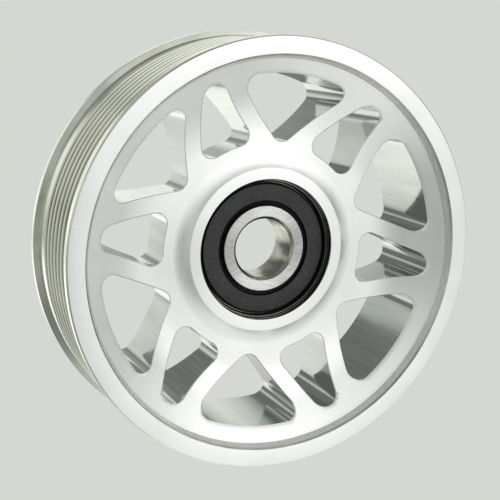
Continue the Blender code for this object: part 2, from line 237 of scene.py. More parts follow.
# Surroundings, as linear colours. Each patch is added to what is there or multiplies it:
# how, direction, inner and outer radius of its soft edge in degrees, and colour.
BACKDROP_COLOUR = (0.665, 0.686, 0.644)
ROOM_COLOUR = (0.34, 0.35, 0.33)
FLOOR_RADIUS = 6.0
FLOOR_GAP = 0.1 * MM
SKY_PATCHES = (
    ("MULTIPLY", (180, 20), 40, 75, (0.60, 0.61, 0.61)),
    ("ADD", (15, 22), 12, 42, (0.84, 0.85, 0.85)),
    ("ADD", (38, 22), 8, 30, (0.53, 0.54, 0.53)),
    ("ADD", (38, -16), 8, 30, (0.45, 0.45, 0.45)),
    ("ADD", (62, 22), 6, 22, (0.22, 0.22, 0.22)),
    ("ADD", (10, -45), 10, 35, (0.42, 0.42, 0.42)),
    ("ADD", (-8, -50), 6, 22, (0.15, 0.15, 0.15)),
    ("ADD", (14, -8), 4, 18, (0.12, 0.12, 0.12)),
    ("ADD", (-28, 17), 5, 17, (0.24, 0.24, 0.24)),
    ("ADD", (-40, -12), 5, 16, (0.16, 0.16, 0.17)),
    ("ADD", (0, -85), 15, 45, (0.21, 0.21, 0.20)),
    ("ADD", (-60, 8), 8, 28, (0.27, 0.28, 0.26)),
    ("ADD", (100, -30), 15, 45, (0.38, 0.39, 0.37)),
    ("ADD", (90, 45), 15, 45, (0.24, 0.24, 0.23)),
    ("ADD", (-110, 40), 15, 45, (0.20, 0.20, 0.20)),
    ("ADD", (180, -60), 18, 46, (0.34, 0.35, 0.33)),
    ("ADD", (-164, -28), 10, 22, (0.66, 0.67, 0.62)),
    ("ADD", (-165, 6), 7, 17, (0.66, 0.67, 0.63)),
    ("ADD", (160, 9), 5, 15, (0.74, 0.75, 0.71)),
    ("ADD", (169, 17), 3, 9, (0.25, 0.26, 0.23)),
    ("ADD", (180, 18), 4, 12, (0.20, 0.21, 0.19)),
    ("ADD", (-167, -12), 5, 15, (0.46, 0.47, 0.44)),
    ("ADD", (176, -22), 4, 12, (0.35, 0.36, 0.32)),
    ("ADD", (-151, 15), 2, 8, (0.38, 0.39, 0.37)),
    ("MULTIPLY", (-16, -5), 4, 17, (0.42, 0.42, 0.42)),
)


def arc(centre, radius, start, end, step=ARC_STEP):
    """Points from one angle to another about a centre, both ends included."""
    steps = max(1, math.ceil(abs(end - start) / step))
    points = []
    for index in range(steps + 1):
        angle = start + (end - start) * index / steps
        points.append((centre[0] + radius * math.cos(angle), centre[1] + radius * math.sin(angle)))
    return points


def rounded(corners):
    """Outline through (u, v, round) corners, each turned into an arc of that radius."""
    points = []
    count = len(corners)
    for index, (u, v, radius) in enumerate(corners):
        here = Vector((u, v))
        if radius == 0:
            points.append((u, v))
            continue
        before = (Vector(corners[index - 1][:2]) - here).normalized()
        after = (Vector(corners[(index + 1) % count][:2]) - here).normalized()
        opening = before.angle(after)
        reach = radius / math.tan(opening / 2)
        centre = here + (before + after).normalized() * radius / math.sin(opening / 2)
        first = here + before * reach - centre
        turn = math.pi - opening
        if first.x * (here.y - centre.y) - first.y * (here.x - centre.x) < 0:
            turn = -turn
        start = math.atan2(first.y, first.x)
        points += arc(centre, radius, start, start + turn, ROUND_STEP)
    return points


def mirrored(half):
    """Half an outline that starts and ends on the mirror line, with its other half added."""
    return half + [(u, -v) for u, v in half[-2:0:-1]]


def turned(outline, segments=ROUND_SEGMENTS, closed=True):
    """Solid of revolution about Y from (radius, y) points."""
    mesh_data = bmesh.new()
    points = [mesh_data.verts.new((radius, y, 0.0)) for radius, y in outline]
    edges = [mesh_data.edges.new(pair) for pair in zip(points, points[1:])]
    if closed:
        edges.append(mesh_data.edges.new((points[-1], points[0])))
    bmesh.ops.spin(
        mesh_data, geom=points + edges, cent=(0, 0, 0), axis=(0, 1, 0), angle=math.tau,
        steps=segments, use_merge=True,
    )
    bmesh.ops.remove_doubles(mesh_data, verts=mesh_data.verts[:], dist=MERGE_DISTANCE)
    bmesh.ops.recalc_face_normals(mesh_data, faces=mesh_data.faces[:])
    return mesh_data


def add_piece(name, mesh_data, materials, body, nodes):
    """Object from a bmesh that rides on a body and stands for CAD nodes."""
    mesh = bpy.data.meshes.new(name)
    mesh_data.to_mesh(mesh)
    mesh_data.free()
    for material in materials:
        mesh.materials.append(material)
    mesh.shade_smooth()
    mesh.set_sharp_from_angle(angle=SMOOTH_ANGLE)
    piece = bpy.data.objects.new(name, mesh)
    bpy.context.collection.objects.link(piece)
    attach(piece, body)
    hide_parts(*nodes)
    return piece


def apply_modifiers(piece):
    """Replaces a piece's mesh with what its modifiers make of it."""
    bpy.context.view_layer.update()
    evaluated = piece.evaluated_get(bpy.context.evaluated_depsgraph_get())
    mesh = bpy.data.meshes.new_from_object(evaluated)
    piece.modifiers.clear()
    piece.data = mesh
    mesh.shade_smooth()
    mesh.set_sharp_from_angle(angle=SMOOTH_ANGLE)


def cut_with(piece, cutter_mesh, materials=()):
    """Cuts a bmesh out of a piece, whose new walls take the cutter's materials."""
    bmesh.ops.recalc_face_normals(cutter_mesh, faces=cutter_mesh.faces[:])
    mesh = bpy.data.meshes.new("cutter")
    cutter_mesh.to_mesh(mesh)
    cutter_mesh.free()
    for material in materials:
        mesh.materials.append(material)
    cutter = bpy.data.objects.new("cutter", mesh)
    bpy.context.collection.objects.link(cutter)
    cut = piece.modifiers.new("cut", "BOOLEAN")
    cut.operation = "DIFFERENCE"
    cut.solver = "EXACT"
    cut.material_mode = "TRANSFER" if materials else "INDEX"
    cut.object = cutter
    apply_modifiers(piece)
    bpy.data.objects.remove(cutter)


# Materials. Their patterns sit in the object's own coordinates, so they turn with the pulley.

def shader_node(tree, kind, inputs=None, **settings):
    """Node with its settings made, and each input set to a value or linked to a socket."""
    made = tree.nodes.new("ShaderNode" + kind)
    for name, value in settings.items():
        setattr(made, name, value)
    for name, value in (inputs or {}).items():
        if isinstance(value, bpy.types.NodeSocket):
            tree.links.new(value, made.inputs[name])
        else:
            made.inputs[name].default_value = value
    return made


def new_material(name, metallic=1.0, anisotropic=0.0):
    """Material with its shader and place sockets; an anisotropic one is turned about Y."""
    material = bpy.data.materials.new(name)
    material.use_nodes = True
    tree = material.node_tree
    shader = tree.nodes["Principled BSDF"]
    shader.inputs["Metallic"].default_value = metallic
    if anisotropic:
        shader.inputs["Anisotropic"].default_value = anisotropic
        shader.inputs["Anisotropic Rotation"].default_value = ACROSS_THE_MARKS
        tangent = shader_node(tree, "Tangent", direction_type="RADIAL", axis="Y")
        tree.links.new(tangent.outputs["Tangent"], shader.inputs["Tangent"])
    return material, tree, shader, shader_node(tree, "TexCoord").outputs["Object"]


def axis_distance(tree, place):
    """Distance from the pulley's axis."""
    flat = shader_node(tree, "VectorMath", {0: place, 1: (1, 0, 1)}, operation="MULTIPLY")
    length = shader_node(tree, "VectorMath", {0: flat.outputs["Vector"]}, operation="LENGTH")
    return length.outputs["Value"]


def along_axis(tree, place):
    """Distance along the pulley's axis."""
    return shader_node(tree, "SeparateXYZ", {"Vector": place}).outputs["Y"]


def grain(tree, place, size, detail=2.0):
    """Noise about 0.5 with features of one size, or of an (x, y, z) size."""
    sizes = size if isinstance(size, tuple) else (size,) * 3
    scaled = shader_node(tree, "VectorMath", {0: place, 1: sizes}, operation="DIVIDE")
    inputs = {"Vector": scaled.outputs["Vector"], "Scale": 1.0, "Detail": detail}
    return shader_node(tree, "TexNoise", inputs).outputs["Fac"]


def line_grain(tree, distance, spacing, detail=2.0):
    """Noise about 0.5 that varies along one distance only, as turning marks do."""
    steps = shader_node(tree, "Math", {0: distance, 1: spacing}, operation="DIVIDE")
    inputs = {"W": steps.outputs["Value"], "Scale": 1.0, "Detail": detail}
    return shader_node(tree, "TexNoise", inputs, noise_dimensions="1D").outputs["Fac"]


def turned_place(tree, place, angle):
    """Place seen from axes turned about Y."""
    inputs = {"Vector": place, "Rotation": (0.0, angle, 0.0)}
    return shader_node(tree, "Mapping", inputs).outputs["Vector"]


def spread(tree, factor, low, high, start=NOISE_LOW, end=NOISE_HIGH):
    """Value that goes from low to high while the factor goes from start to end."""
    inputs = {"Value": factor, "From Min": start, "From Max": end, "To Min": low, "To Max": high}
    return shader_node(tree, "MapRange", inputs).outputs["Result"]


def tint(tree, factor, first, second):
    """Colour between two, by a factor from 0 to 1; each is a colour or a socket."""
    inputs = {"Factor": factor}
    for name, colour in (("A", first), ("B", second)):
        inputs[name] = colour if isinstance(colour, bpy.types.NodeSocket) else (*colour, 1.0)
    return shader_node(tree, "Mix", inputs, data_type="RGBA").outputs["Result"]


def tone(tree, pattern, dark, bright):
    """Colour that goes from dark to bright with a noise."""
    return tint(tree, spread(tree, pattern, 0.0, 1.0), dark, bright)


def average(tree, first, second, share=0.5):
    """Two factors mixed, with the second one's share."""
    inputs = {"Factor": share, "A": first, "B": second}
    return shader_node(tree, "Mix", inputs, data_type="FLOAT").outputs["Result"]


def set_surface(tree, shader, colour, roughness, height, depth):
    """Links a colour and a roughness, and a height pattern as relief of a depth."""
    tree.links.new(colour, shader.inputs["Base Color"])
    tree.links.new(roughness, shader.inputs["Roughness"])
    bump = shader_node(tree, "Bump", {"Height": height, "Distance": depth, "Strength": 1.0})
    tree.links.new(bump.outputs["Normal"], shader.inputs["Normal"])


def make_satin_aluminium():
    """Fine-turned faces: faint rings about the axis under a soft frosted surface."""
    material, tree, shader, place = new_material("satin_aluminium", anisotropic=0.6)
    rings = line_grain(tree, axis_distance(tree, place), 0.5 * MM)
    frost = grain(tree, place, 0.45 * MM, 3.0)
    patches = grain(tree, place, 16 * MM)
    marks = average(tree, rings, frost)
    colour = tone(tree, patches, (0.87, 0.875, 0.865), (0.92, 0.925, 0.915))
    set_surface(tree, shader, colour, spread(tree, marks, 0.33, 0.43), marks, 0.004 * MM)
    return material


def make_milled_aluminium():
    """Window walls: bright, with streaks that the side of a cutter leaves along the axis."""
    material, tree, shader, place = new_material("milled_aluminium")
    fine = grain(tree, place, (0.8 * MM, 22 * MM, 0.8 * MM))
    broad = grain(tree, place, (4 * MM, 30 * MM, 4 * MM))
    streaks = average(tree, fine, broad, 0.6)
    colour = tone(tree, streaks, (0.57, 0.60, 0.58), (0.69, 0.715, 0.695))
    set_surface(tree, shader, colour, spread(tree, fine, 0.07, 0.14), streaks, 0.011 * MM)
    return material


def make_belt_aluminium():
    """Belt surface: fine rings, bright on the tips, with painted shade that darkens the grooves to
    an olive tone.
    """
    material, tree, shader, place = new_material("grooved_aluminium", anisotropic=0.5)
    rings = line_grain(tree, along_axis(tree, place), 0.3 * MM)
    patches = grain(tree, place, 11 * MM)
    radius = axis_distance(tree, place)
    groove_shade_fade = spread(tree, radius, 0.0, 1.0, GROOVE_SHADE_RADIUS, BRIGHT_TIP_RADIUS)
    bright = tone(tree, patches, (0.88, 0.90, 0.80), (0.95, 0.96, 0.87))
    # Painted shade: the colour goes from the tips' tone to a dark olive in the grooves, where shade
    # falls.
    colour = tint(tree, groove_shade_fade, (0.31, 0.32, 0.24), bright)
    set_surface(tree, shader, colour, spread(tree, rings, 0.09, 0.16), rings, 0.003 * MM)
    return material


def make_bored_aluminium(name, dark, bright):
    """Surface cut smooth by a boring tool, so it mirrors what is beside it."""
    material, tree, shader, place = new_material(name, anisotropic=0.5)
    rings = line_grain(tree, along_axis(tree, place), 0.3 * MM)
    patches = grain(tree, place, 9 * MM)
    colour = tone(tree, patches, dark, bright)
    set_surface(tree, shader, colour, spread(tree, rings, 0.13, 0.20), rings, 0.002 * MM)
    return material


def make_ground_steel():
    """Inner ring: ground about the axis, with fine handling scratches across it both ways."""
    material, tree, shader, place = new_material("ground_steel", anisotropic=1.0)
    rings = line_grain(tree, axis_distance(tree, place), 0.35 * MM)
    scratches = []
    for angle in SCRATCH_ANGLES:
        across = turned_place(tree, place, angle)
        scratches.append(grain(tree, across, (7 * MM, 7 * MM, 0.25 * MM), 3.0))
    crossed = average(tree, *scratches)
    marks = average(tree, rings, crossed, 0.6)
    colour = tone(tree, crossed, (0.62, 0.62, 0.605), (0.88, 0.88, 0.87))
    set_surface(tree, shader, colour, spread(tree, crossed, 0.46, 0.38), marks, 0.010 * MM)
    return material


def make_bore_steel():
    """Bore of the inner ring: honed, a mirror, with its colour darkened to an olive tone as painted
    shade inside the bore.
    """
    material, tree, shader, place = new_material("bore_steel", anisotropic=0.4)
    rings = line_grain(tree, along_axis(tree, place), 0.4 * MM)
    shade_mottle = grain(tree, place, 4 * MM)
    colour = tone(tree, shade_mottle, (0.33, 0.33, 0.275), (0.46, 0.46, 0.40))
    set_surface(tree, shader, colour, spread(tree, rings, 0.10, 0.18), rings, 0.002 * MM)
    return material


def make_hard_steel():
    """Ring steel beside the seals: ground about the axis, its colour darkened below the aluminium
    around it as painted shade in the recess beside the black seals.
    """
    material, tree, shader, place = new_material("hard_steel", anisotropic=0.6)
    rings = line_grain(tree, axis_distance(tree, place), 0.3 * MM)
    patches = grain(tree, place, 5 * MM)
    # Painted shade: the ring steel's colour is darkened to a dark grey.
    colour = tone(tree, patches, (0.22, 0.22, 0.21), (0.30, 0.30, 0.285))
    set_surface(tree, shader, colour, spread(tree, rings, 0.22, 0.36), rings, 0.005 * MM)
    return material


def make_pressed_steel(name, dark, bright):
    """Cold-rolled sheet or wire after pressing: dull, slightly cloudy, with a fine grain."""
    material, tree, shader, place = new_material(name)
    clouds = grain(tree, place, 2.5 * MM, 4.0)
    fine = grain(tree, place, 0.12 * MM)
    roughness = spread(tree, average(tree, clouds, fine), 0.30, 0.48)
    set_surface(tree, shader, tone(tree, clouds, dark, bright), roughness, fine, 0.004 * MM)
    return material


def make_ball_steel():
    """Lapped balls: near mirror, with a faint haze."""
    material, tree, shader, place = new_material("ball_steel")
    haze = grain(tree, place, 1.5 * MM, 4.0)
    colour = tone(tree, haze, (0.60, 0.60, 0.59), (0.68, 0.68, 0.67))
    set_surface(tree, shader, colour, spread(tree, haze, 0.05, 0.11), haze, 0.0005 * MM)
    return material


def make_seal_rubber():
    """Moulded nitrile rubber: matt, finely grained, with a little pale dust in its pores."""
    material, tree, shader, place = new_material("seal_rubber", metallic=0.0)
    pores = grain(tree, place, 0.5 * MM, 3.0)
    bloom = grain(tree, place, 5 * MM)
    black = tone(tree, bloom, (0.012, 0.0124, 0.013), (0.021, 0.022, 0.023))
    dust = spread(tree, pores, 0.0, 1.0, 0.62, 0.72)
    colour = tint(tree, dust, black, (0.10, 0.102, 0.10))
    set_surface(tree, shader, colour, spread(tree, pores, 0.42, 0.62), pores, 0.05 * MM)
    return material


def make_groove_shadow_black():
    """Near-black painted shadow over the seal's lip and in its groove in the outer ring, where the
    gap between them lies in deep shade.
    """
    material, tree, shader, place = new_material("groove_shadow_black", metallic=0.0)
    shader.inputs["Specular IOR Level"].default_value = 0.12
    shadow_mottle = grain(tree, place, 1.2 * MM)
    colour = tone(tree, shadow_mottle, (0.003, 0.003, 0.003), (0.007, 0.007, 0.007))
    set_surface(tree, shader, colour, spread(tree, shadow_mottle, 0.30, 0.55), shadow_mottle, 0.02 * MM)
    return material


ground_steel = make_ground_steel()
bore_steel = make_bore_steel()
hard_steel = make_hard_steel()
cage_steel = make_pressed_steel("cage_steel", (0.44, 0.43, 0.41), (0.56, 0.55, 0.53))
rivet_steel = make_pressed_steel("rivet_steel", (0.50, 0.49, 0.47), (0.60, 0.59, 0.57))
insert_steel = make_pressed_steel("insert_steel", (0.40, 0.39, 0.37), (0.50, 0.49, 0.47))
ball_steel = make_ball_steel()
rubber = make_seal_rubber()
groove_shadow_black = make_groove_shadow_black()

# The pulley's finishes, in the order of its material slots. Its windows are cut with the
# first two.
FACED, MILLED, BELT, BORED, SHOULDER, SEAT = range(6)
PULLEY_FINISHES = (
    make_satin_aluminium(),
    make_milled_aluminium(),
    make_belt_aluminium(),
    make_bored_aluminium("bored_aluminium", (0.74, 0.75, 0.68), (0.84, 0.85, 0.78)),
    # Painted shade: the back flange wall and the rim's inner edge chamfer are darkened to an olive
    # grey.
    make_bored_aluminium("shoulder_aluminium", (0.50, 0.51, 0.44), (0.62, 0.63, 0.56)),
    # Painted shade: the bearing seat's wall is darkened far below aluminium, where it lies in shade
    # beside the black seal.
    make_bored_aluminium("seat_aluminium", (0.16, 0.16, 0.15), (0.26, 0.26, 0.24)),
)
WINDOW_FINISHES = PULLEY_FINISHES[:2]


# The pulley body.

def web_height(radius):
    """Height of the web's surface above the middle plane at a radius inside the rim wall."""
    run = min(max(radius, WEB_CURVE_START), WEB_CURVE_END) - WEB_CURVE_START
    height = WEB_HEIGHT + WEB_CURVE_RADIUS - math.sqrt(WEB_CURVE_RADIUS ** 2 - run ** 2)
    share = (radius - WEB_CURVE_END) / (RIM_WALL_FOOT_RADIUS - WEB_CURVE_END)
    return height + (RIM_WALL_FOOT_HEIGHT - height) * max(0.0, share)


def face_corners():
    """One face of the pulley from the boss to the rim edge, as (radius, height, round)."""
    down = -math.pi / 2
    fillet_centre = (BOSS_FILLET_END, WEB_HEIGHT + BOSS_FILLET_RADIUS)
    fillet_start = down - math.asin((BOSS_FILLET_END - BOSS_RADIUS) / BOSS_FILLET_RADIUS)
    fillet = arc(fillet_centre, BOSS_FILLET_RADIUS, fillet_start, down, FILLET_STEP)
    curve_centre = (WEB_CURVE_START, WEB_HEIGHT + WEB_CURVE_RADIUS)
    curve_turn = math.asin((WEB_CURVE_END - WEB_CURVE_START) / WEB_CURVE_RADIUS)
    curve = arc(curve_centre, WEB_CURVE_RADIUS, down, down + curve_turn, CURVE_STEP)
    corners = [(radius, height, 0.0) for radius, height in fillet + curve]
    corners[0] = (*fillet[0], BOSS_EDGE_ROUND)
    cone_width = RIM_WALL_FOOT_RADIUS - WEB_CURVE_END
    for step in range(1, WEB_CONE_STEPS):
        radius = WEB_CURVE_END + cone_width * step / WEB_CONE_STEPS
        corners.append((radius, web_height(radius), 0.0))
    corners += [
        (RIM_WALL_FOOT_RADIUS, RIM_WALL_FOOT_HEIGHT, RIM_WALL_FOOT_ROUND),
        (RIM_EDGE_RADIUS - RIM_EDGE_CHAMFER, HALF_WIDTH - RIM_EDGE_CHAMFER, EDGE_ROUND),
        (RIM_EDGE_RADIUS, HALF_WIDTH, EDGE_ROUND),
    ]
    return corners


def belt_corners():
    """Outside of the rim from the front face to the back face, as (radius, y, round)."""
    slope = GROOVE_DEPTH * math.tan(GROOVE_HALF_ANGLE)
    corners = [
        (FLANGE_RADIUS - EDGE_CHAMFER, -HALF_WIDTH, EDGE_ROUND),
        (FLANGE_RADIUS, EDGE_CHAMFER - HALF_WIDTH, EDGE_ROUND),
        (FLANGE_RADIUS, FLANGE_LAND_END, FLANGE_LAND_ROUND),
        (BELT_RADIUS, FLANGE_SHOULDER_END, FLANGE_SHOULDER_ROUND),
    ]
    for groove in range(GROOVE_COUNT):
        start = FIRST_TIP + groove * GROOVE_PITCH + TIP_WIDTH / 2
        end = start + GROOVE_PITCH - TIP_WIDTH
        corners += [
            (BELT_RADIUS, start, TIP_ROUND),
            (BELT_RADIUS - GROOVE_DEPTH, start + slope, ROOT_ROUND),
            (BELT_RADIUS - GROOVE_DEPTH, end - slope, ROOT_ROUND),
            (BELT_RADIUS, end, TIP_ROUND),
        ]
    corners += [
        (BELT_RADIUS, BACK_FLANGE_START, BACK_FLANGE_FOOT_ROUND),
        (BACK_FLANGE_RADIUS, BACK_FLANGE_START + FLANGE_LEAN, EDGE_ROUND),
        (BACK_FLANGE_RADIUS, HALF_WIDTH - EDGE_CHAMFER, EDGE_ROUND),
        (BACK_FLANGE_RADIUS - EDGE_CHAMFER, HALF_WIDTH, EDGE_ROUND),
    ]
    return corners


def pulley_outline():
    """Section of the body: lip, seat, front face, belt surface and back face."""
    lip_start = RING_HALF_WIDTH + LIP_CLEARANCE
    hub = [
        (LIP_RADIUS, BOSS_HEIGHT, LIP_OUTSIDE_ROUND),
        (LIP_RADIUS, lip_start, LIP_INSIDE_ROUND),
        (SEAT_RADIUS, lip_start, SEAT_CORNER_ROUND),
        (SEAT_RADIUS, SEAT_CHAMFER - BOSS_HEIGHT, 0.0),
        (SEAT_RADIUS + SEAT_CHAMFER, -BOSS_HEIGHT, 0.0),
    ]
    back = face_corners()
    front = [(radius, -height, fillet) for radius, height, fillet in back]
    return rounded(hub + front + belt_corners() + back[::-1])


def large_window_outline():
    """Window with its tip toward the hub and an arc beside the rim, on the +u axis."""
    normal = Vector((math.sin(LARGE_SIDE_ANGLE), -math.cos(LARGE_SIDE_ANGLE)))
    along = Vector((math.cos(LARGE_SIDE_ANGLE), math.sin(LARGE_SIDE_ANGLE)))
    side_turn = math.pi / 2 + LARGE_SIDE_ANGLE
    tip = ((LARGE_SIDE_DISTANCE + LARGE_TIP_FILLET) / math.sin(LARGE_SIDE_ANGLE), 0.0)
    offset = LARGE_SIDE_DISTANCE + LARGE_CORNER_FILLET
    reach = math.sqrt((LARGE_OUTER_RADIUS - LARGE_CORNER_FILLET) ** 2 - offset ** 2)
    corner = normal * offset + along * reach
    corner_angle = math.atan2(corner.y, corner.x)
    tip_arc = arc(tip, LARGE_TIP_FILLET, math.pi, side_turn)
    corner_arc = arc(corner, LARGE_CORNER_FILLET, side_turn, corner_angle)
    rim_arc = arc((0, 0), LARGE_OUTER_RADIUS, corner_angle, 0.0, CURVE_STEP)
    return mirrored(tip_arc + straight(tip_arc[-1], corner_arc[0]) + corner_arc + rim_arc[1:])


def small_window_outline():
    """Window with its tip toward the rim and an arc beside the hub, on the +u axis."""
    normal = Vector((math.sin(SMALL_SIDE_ANGLE), math.cos(SMALL_SIDE_ANGLE)))
    along = Vector((math.cos(SMALL_SIDE_ANGLE), -math.sin(SMALL_SIDE_ANGLE)))
    side_turn = math.pi / 2 - SMALL_SIDE_ANGLE
    tip = ((SMALL_SIDE_DISTANCE - SMALL_TIP_FILLET) / math.sin(SMALL_SIDE_ANGLE), 0.0)
    offset = SMALL_SIDE_DISTANCE - SMALL_CORNER_FILLET
    reach = math.sqrt((SMALL_INNER_RADIUS + SMALL_CORNER_FILLET) ** 2 - offset ** 2)
    corner = normal * offset + along * reach
    corner_angle = math.atan2(corner.y, corner.x)
    tip_arc = arc(tip, SMALL_TIP_FILLET, 0.0, side_turn)
    corner_arc = arc(corner, SMALL_CORNER_FILLET, side_turn, corner_angle + math.pi)
    hub_arc = arc((0, 0), SMALL_INNER_RADIUS, corner_angle, 0.0, CURVE_STEP)
    return mirrored(tip_arc + straight(tip_arc[-1], corner_arc[0]) + corner_arc + hub_arc[1:])


def straight(start, end):
    """Points between two ends, neither included."""
    start = Vector(start)
    end = Vector(end)
    count = max(1, round((end - start).length / WINDOW_POINT_SPACING))
    return [tuple(start.lerp(end, index / count)) for index in range(1, count)]


def grown(outline, distance):
    """Outline moved outward by a distance at every point."""
    points = [Vector(point) for point in outline]
    middle = sum(points, Vector((0.0, 0.0))) / len(points)
    moved = []
    for index, point in enumerate(points):
        along = (points[(index + 1) % len(points)] - points[index - 1]).normalized()
        outward = Vector((along.y, -along.x))
        if outward.dot(point - middle) < 0:
            outward = -outward
        moved.append(point + outward * distance)
    return moved


def add_window_cutter(mesh_data, outline, angle):
    """Cutter with straight walls that flares where it leaves the web, to break the edges."""
    turn = Matrix.Rotation(-angle, 3, "Y")
    wide = grown(outline, WINDOW_EDGE_BREAK + WINDOW_CUTTER_FLARE)
    back = []
    for points, rise in ((outline, -WINDOW_EDGE_BREAK), (wide, WINDOW_CUTTER_FLARE)):
        heights = [web_height(math.hypot(*wall_point)) + rise for wall_point in outline]
        back.append([(u, height, v) for (u, v), height in zip(points, heights)])
    back.append([(u, HALF_WIDTH, v) for u, v in wide])
    front = [[(u, -height, v) for u, height, v in level] for level in reversed(back)]
    rings = []
    for level in front + back:
        rings.append([mesh_data.verts.new(turn @ Vector(place)) for place in level])
    for lower, upper in zip(rings, rings[1:]):
        straight_wall = lower is rings[len(front) - 1]
        for index in range(len(outline)):
            after = (index + 1) % len(outline)
            face = mesh_data.faces.new((lower[index], lower[after], upper[after], upper[index]))
            face.material_index = MILLED if straight_wall else FACED
    mesh_data.faces.new(rings[0])
    mesh_data.faces.new(rings[-1])


def face_place(face):
    """Radius and place along Y of the middle of a face."""
    middle = face.calc_center_median()
    return math.hypot(middle.x, middle.z), middle.y


def pulley_finish(radius, y):
    """Which of the pulley's finishes its turned surface has at a place."""
    height = abs(y)
    if radius < SEAT_FINISH_RADIUS:
        return SEAT
    if radius < RIM_WALL_FINISH_RADIUS or height > FACE_FINISH_HEIGHT:
        return FACED
    if radius > OUTSIDE_FINISH_RADIUS:
        if height > OUTSIDE_EDGE_FINISH_HEIGHT:
            return BORED
        return SHOULDER if BACK_FLANGE_START < y < FLANGE_WALL_FINISH_END else BELT
    if height < RIM_WALL_FOOT_FINISH_HEIGHT:
        return BORED
    return SHOULDER if height > RIM_WALL_EDGE_FINISH_HEIGHT else FACED


def make_pulley_body():
    """Turned body, with its windows cut through the web."""
    mesh_data = turned(pulley_outline())
    for face in mesh_data.faces:
        face.material_index = pulley_finish(*face_place(face))
    body = add_piece(
        "pulley", mesh_data, PULLEY_FINISHES, "pulley", ("pulley_body",)
    )
    windows = bmesh.new()
    for window in range(WINDOW_COUNT):
        turn = math.tau * window / WINDOW_COUNT
        add_window_cutter(windows, large_window_outline(), LARGE_WINDOW_ANGLE + turn)
        add_window_cutter(windows, small_window_outline(), SMALL_WINDOW_ANGLE + turn)
    cut_with(body, windows, WINDOW_FINISHES)


# The bearing.

def raceway(land, middle):
    """Ball groove between two points on a land, as (radius, y, round), back to front."""
    half_turn = math.acos(abs(land - PITCH_RADIUS) / RACE_RADIUS)
    points = arc((PITCH_RADIUS, 0), RACE_RADIUS, middle + half_turn, middle - half_turn)
    points.sort(key=lambda point: -point[1])
    return [(radius, y, 0.0) for radius, y in points]


def both_sides(back, between=()):
    """Outline from corners on the back, what lies between, and the same corners on the front."""
    front = [(radius, -y, fillet) for radius, y, fillet in reversed(back)]
    return rounded([*back, *between, *front])


def make_outer_ring():
    """Ring with a raceway, and a recess on each side that holds a seal."""
    back = [
        (OUTER_RING_RADIUS, RING_HALF_WIDTH, OUTER_RING_CHAMFER),
        (SEAL_RECESS_MOUTH, RING_HALF_WIDTH, SEAL_RECESS_MOUTH_ROUND),
        (SEAL_RECESS_RADIUS, RING_HALF_WIDTH - SEAL_RECESS_MOUTH_DEPTH, SEAL_RECESS_ROUND),
        (SEAL_RECESS_RADIUS, SEAL_RECESS_FLOOR, 0.0),
        (OUTER_LAND_RADIUS, SEAL_RECESS_FLOOR, OUTER_LAND_ROUND),
    ]
    ring = turned(both_sides(back, raceway(OUTER_LAND_RADIUS, 0.0)))
    for face in ring.faces:
        radius, y = face_place(face)
        # Faces in the seal's groove in the outer ring take the near-black painted shadow.
        in_shadowed_groove = radius < SEAL_RECESS_MOUTH and abs(y) > SEAL_RECESS_FLOOR
        face.material_index = 1 if in_shadowed_groove else 0
    add_piece(
        "outer_ring", ring, (hard_steel, groove_shadow_black), "pulley",
        ("bearing_outer_ring",),
    )


def make_inner_ring():
    """Ring with a raceway, two ground faces and a chamfered bore."""
    back = [
        (BORE_RADIUS, RING_HALF_WIDTH - BORE_CHAMFER, BORE_ROUND),
        (BORE_RADIUS + BORE_CHAMFER, RING_HALF_WIDTH, BORE_ROUND),
        (INNER_RING_RADIUS, RING_HALF_WIDTH, INNER_RING_ROUND),
    ]
    ring = turned(both_sides(back, raceway(INNER_RING_RADIUS, math.pi)))
    for face in ring.faces:
        radius, y = face_place(face)
        if radius < BORE_FINISH_RADIUS:
            face.material_index = 1
        elif abs(y) < GROUND_FACE_FINISH_HEIGHT:
            face.material_index = 2
    add_piece(
        "inner_ring", ring, (ground_steel, bore_steel, hard_steel), "inner_ring",
        ("bearing_inner_ring",),
    )


def on_side(corners, side):
    """Rounded outline of millimetre corners, on the front (-1) or the back (1)."""
    in_metres = [tuple(value * MM for value in corner) for corner in corners]
    return [(radius, side * height) for radius, height in rounded(in_metres)]


def make_seal(name, side):
    """Rubber shield with its lip, and the pressed steel disc that stiffens it."""
    shield = turned(on_side(SEAL_CORNERS, side))
    for face in shield.faces:
        # The seal's lip and edges take the near-black painted shadow; its face keeps the rubber.
        outside_groove_shadow = abs(face_place(face)[1]) > SEAL_FACE_FINISH_HEIGHT
        face.material_index = 0 if outside_groove_shadow else 1
    add_piece(
        name + "_rubber", shield, (rubber, groove_shadow_black), "pulley", (name,)
    )
    add_piece(
        name + "_insert_disc", turned(on_side(INSERT_CORNERS, side), RING_SEGMENTS),
        (insert_steel,), "pulley", (name + "_insert",),
    )


def on_pitch_circle(steps):
    """Place on the balls' pitch circle, counted in ball steps from +X toward +Z."""
    angle = BALL_STEP * steps
    return Vector((PITCH_RADIUS * math.cos(angle), 0.0, PITCH_RADIUS * math.sin(angle)))


def make_balls():
    """Lapped balls, the first one on the +X axis."""
    for ball in range(BALL_COUNT):
        mesh_data = bmesh.new()
        bmesh.ops.create_uvsphere(
            mesh_data, u_segments=BALL_SEGMENTS, v_segments=BALL_SEGMENTS // 2, radius=BALL_RADIUS
        )
        bmesh.ops.translate(mesh_data, verts=mesh_data.verts, vec=on_pitch_circle(ball))
        number = ball + 1
        add_piece(
            f"lapped_ball_{number}", mesh_data, (ball_steel,), f"rolling_ball_{number}",
            (f"ball_{number}",),
        )


